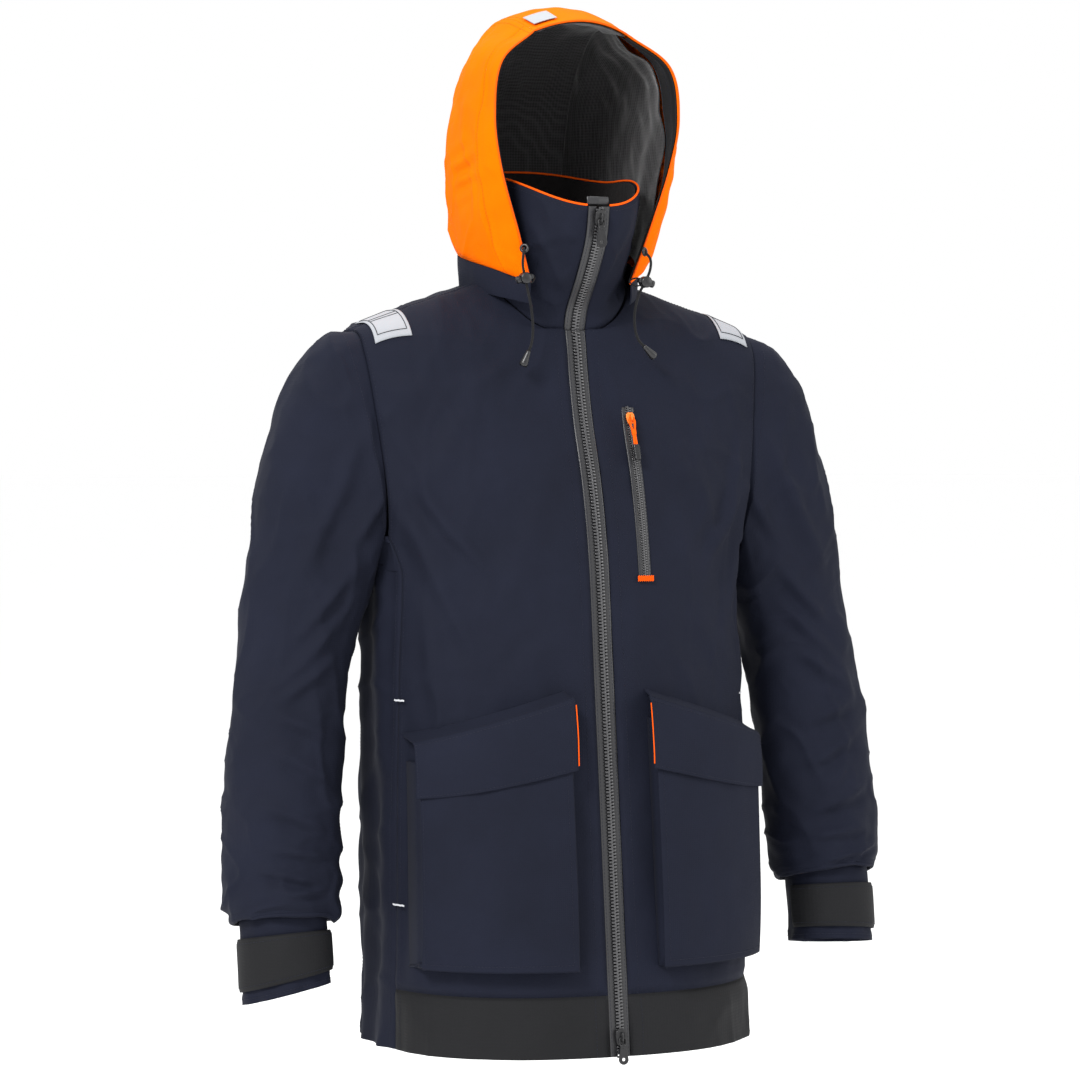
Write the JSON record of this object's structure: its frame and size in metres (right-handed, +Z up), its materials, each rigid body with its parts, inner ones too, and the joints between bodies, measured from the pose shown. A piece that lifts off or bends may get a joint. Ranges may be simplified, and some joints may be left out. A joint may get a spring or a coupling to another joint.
{
  "type": "foul weather jacket",
  "caption": "Hooded foul weather jacket for sailing, with a two-way front zip, a high collar, bellows pockets and adjustable cuffs.",
  "frame": {"origin": "centre of the gap behind the hang loop, inside the back of the neck", "axes": "+Z up towards the hood, -Y the jacket's front, +X the wearer's left"},
  "size_m": [0.734, 0.3314, 1.0882],
  "materials": {
    "navy_shell": "matte woven shell fabric",
    "charcoal_shell": "matte heavy woven reinforcement",
    "orange_shell": "matte high-visibility woven fabric",
    "orange_trim": "satin bound piping",
    "black_mesh": "open mesh lining",
    "black_fleece": "brushed fleece",
    "zip_tape": "satin water-resistant tape",
    "zip_teeth": "glossy moulded teeth",
    "black_plastic": "glossy moulded plastic",
    "orange_pull": "satin lacquered slider",
    "cord_black": "braided elastic cord",
    "reflective": "silver reflective film"
  },
  "bodies": {
    "jacket": {"back_panel": "navy_shell", "collar_shell": "navy_shell", "collar_lining": "black_fleece", "collar_piping": "orange_trim", "storm_flap": "navy_shell", "zip_garage": "zip_tape", "chest_zip_tape": "zip_tape", "chest_zip_teeth": "zip_teeth", "chest_pocket_bag": "black_mesh", "hood_centre_panel": "orange_shell", "hood_mesh_lining_centre": "black_mesh", "hood_base": "navy_shell", "hood_reflector": "reflective", "hang_loop": "navy_shell", "front_panel_right": "navy_shell", "hem_band_right": "charcoal_shell", "side_panel_right": "navy_shell", "zip_tape_right": "zip_tape", "zip_teeth_right": "zip_teeth", "pocket_right": "navy_shell", "hood_side_right": "orange_shell", "hood_facing_right": "black_mesh", "hood_mesh_lining_right": "black_mesh", "shoulder_reflector_right": "reflective", "eyelet_right": "black_plastic", "drawcord_right": "cord_black", "cord_lock_right": "black_plastic", "cord_end_right": "black_plastic", "front_panel_left": "navy_shell", "hem_band_left": "charcoal_shell", "side_panel_left": "navy_shell", "zip_tape_left": "zip_tape", "zip_teeth_left": "zip_teeth", "pocket_left": "navy_shell", "hood_side_left": "orange_shell", "hood_facing_left": "black_mesh", "hood_mesh_lining_left": "black_mesh", "shoulder_reflector_left": "reflective", "eyelet_left": "black_plastic", "drawcord_left": "cord_black", "cord_lock_left": "black_plastic", "cord_end_left": "black_plastic"},
    "top_slider": {"top_slider": "black_plastic"},
    "top_pull": {"top_pull": "black_plastic"},
    "bottom_slider": {"bottom_slider": "black_plastic"},
    "bottom_pull": {"bottom_pull": "black_plastic"},
    "chest_slider": {"chest_slider": "orange_pull"},
    "chest_pull": {"chest_pull_cord": "orange_trim", "chest_pull_tip": "black_plastic"},
    "sleeve_right": {"sleeve_right": "navy_shell", "inner_cuff_right": "navy_shell"},
    "cuff_strap_right": {"cuff_strap_right": "charcoal_shell"},
    "pocket_flap_right": {"pocket_flap_right": "navy_shell"},
    "lock_plunger_right": {"lock_plunger_right": "black_plastic"},
    "sleeve_left": {"sleeve_left": "navy_shell", "inner_cuff_left": "navy_shell"},
    "cuff_strap_left": {"cuff_strap_left": "charcoal_shell"},
    "pocket_flap_left": {"pocket_flap_left": "navy_shell"},
    "lock_plunger_left": {"lock_plunger_left": "black_plastic"}
  },
  "joints": [
    {"name": "top_slider_travel", "type": "slide", "parent": "jacket", "child": "top_slider", "axis": [0, 0.2474, -0.9689], "range_m": [0, 0.02]},
    {"name": "top_pull_swing", "type": "hinge", "parent": "top_slider", "child": "top_pull", "pos_m": [0, -0.20979, 0.02622], "axis": [-1, 0, 0], "range_deg": [0, 150]},
    {"name": "bottom_slider_travel", "type": "slide", "parent": "jacket", "child": "bottom_slider", "axis": [0, 0.1118, 0.9937], "range_m": [0, 0.4]},
    {"name": "bottom_pull_swing", "type": "hinge", "parent": "bottom_slider", "child": "bottom_pull", "pos_m": [0, -0.26515, -0.80671], "axis": [-1, 0, 0], "range_deg": [0, 150]},
    {"name": "chest_slider_travel", "type": "slide", "parent": "jacket", "child": "chest_slider", "axis": [0, -0.3398, -0.9405], "range_m": [0, 0.06]},
    {"name": "chest_pull_swing", "type": "hinge", "parent": "chest_slider", "child": "chest_pull", "pos_m": [0.051, -0.16873, -0.17672], "axis": [-1, 0, 0], "range_deg": [0, 120]},
    {"name": "sleeve_right_raise", "type": "hinge", "parent": "jacket", "child": "sleeve_right", "pos_m": [-0.222, -0.066, -0.0862], "axis": [0, 1, 0], "range_deg": [0, 40]},
    {"name": "pocket_flap_right_lift", "type": "hinge", "parent": "jacket", "child": "pocket_flap_right", "pos_m": [-0.1253, -0.2282, -0.4862], "axis": [-0.8893, 0.3698, -0.2691], "range_deg": [0, 100]},
    {"name": "lock_plunger_right_press", "type": "slide", "parent": "jacket", "child": "lock_plunger_right", "axis": [0.9689, 0, 0.2474], "range_m": [0, 0.0015], "stiffness_N_per_m": 300},
    {"name": "sleeve_left_raise", "type": "hinge", "parent": "jacket", "child": "sleeve_left", "pos_m": [0.222, -0.066, -0.0862], "axis": [0, -1, 0], "range_deg": [0, 40]},
    {"name": "pocket_flap_left_lift", "type": "hinge", "parent": "jacket", "child": "pocket_flap_left", "pos_m": [0.1253, -0.2282, -0.4862], "axis": [-0.8893, -0.3698, 0.2691], "range_deg": [0, 100]},
    {"name": "lock_plunger_left_press", "type": "slide", "parent": "jacket", "child": "lock_plunger_left", "axis": [-0.9689, 0, 0.2474], "range_m": [0, 0.0015], "stiffness_N_per_m": 300},
    {"name": "cuff_strap_right_lift", "type": "hinge", "parent": "sleeve_right", "child": "cuff_strap_right", "pos_m": [-0.35488, -0.09257, -0.73186], "axis": [0, -0.1593, -0.9872], "range_deg": [0, 60]},
    {"name": "cuff_strap_left_lift", "type": "hinge", "parent": "sleeve_left", "child": "cuff_strap_left", "pos_m": [0.35488, -0.09257, -0.70786], "axis": [0, 0.1593, 0.9872], "range_deg": [0, 60]}
  ]
}
